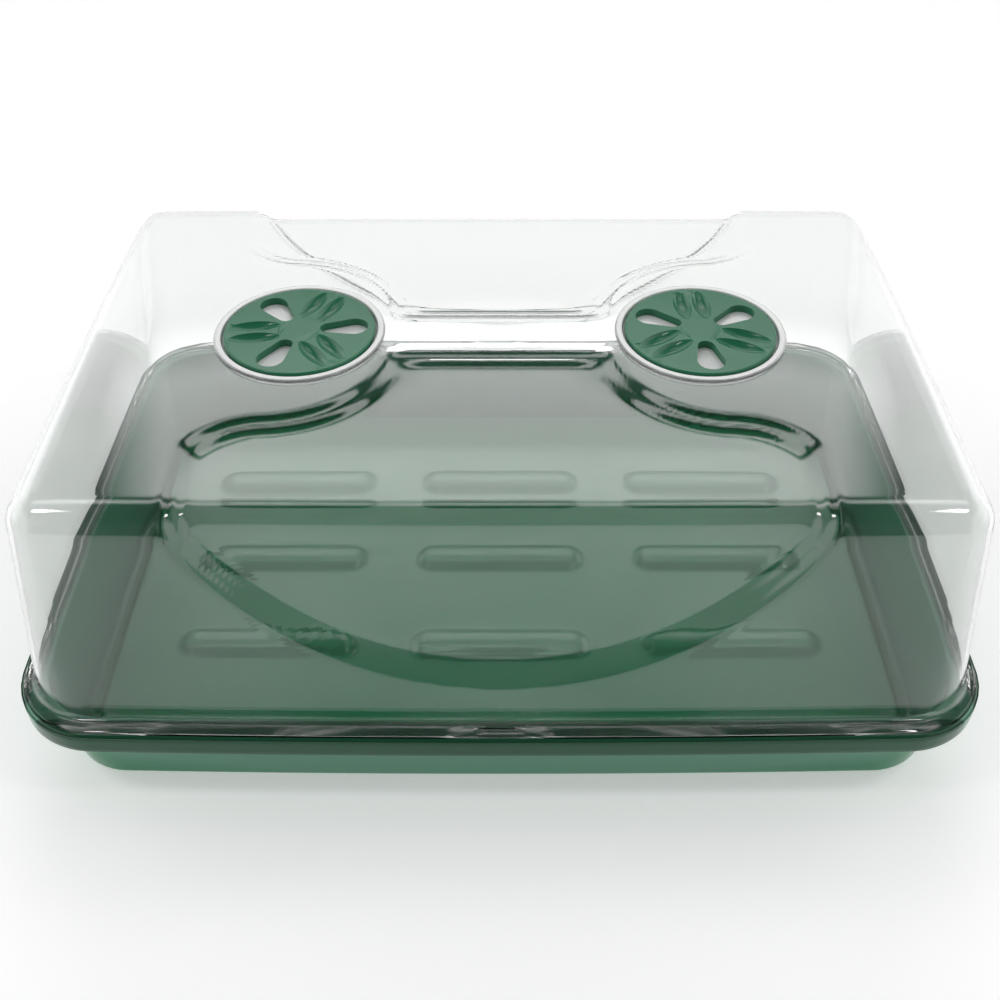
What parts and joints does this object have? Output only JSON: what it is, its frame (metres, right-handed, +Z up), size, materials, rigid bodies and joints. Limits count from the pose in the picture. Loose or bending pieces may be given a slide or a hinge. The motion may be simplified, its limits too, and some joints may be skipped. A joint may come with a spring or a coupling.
{
  "type": "humidity dome tray",
  "caption": "Seed propagator: a ribbed plastic tray with a wide rim, a clear lift-off dome with sunk panels, and rotary vent discs that turn in its top.",
  "frame": {"origin": "centre of the underside of the tray, on the surface it stands on", "axes": "+X along the long sides, +Y towards the back, +Z up"},
  "size_m": [0.5798, 0.4038, 0.212],
  "materials": {
    "tray_green": "smooth moulded, dark green, glossy",
    "dome_clear": "crystal clear formed sheet, polished",
    "vent_green": "smooth moulded, mid green, glossy"
  },
  "bodies": {
    "tray": {"tray": "tray_green"},
    "dome": {"dome": "dome_clear"},
    "vent_left": {"vent_left": "vent_green"},
    "vent_right": {"vent_right": "vent_green"}
  },
  "joints": [
    {"name": "dome_lift", "type": "slide", "parent": "tray", "child": "dome", "axis": [0, 0, 1], "range_m": [0, 0.2]},
    {"name": "vent_left_turn", "type": "hinge", "parent": "dome", "child": "vent_left", "pos_m": [-0.1235, 0, 0.207], "axis": [0, 0, 1], "continuous": true},
    {"name": "vent_right_turn", "type": "hinge", "parent": "dome", "child": "vent_right", "pos_m": [0.1235, 0, 0.207], "axis": [0, 0, 1], "continuous": true}
  ]
}
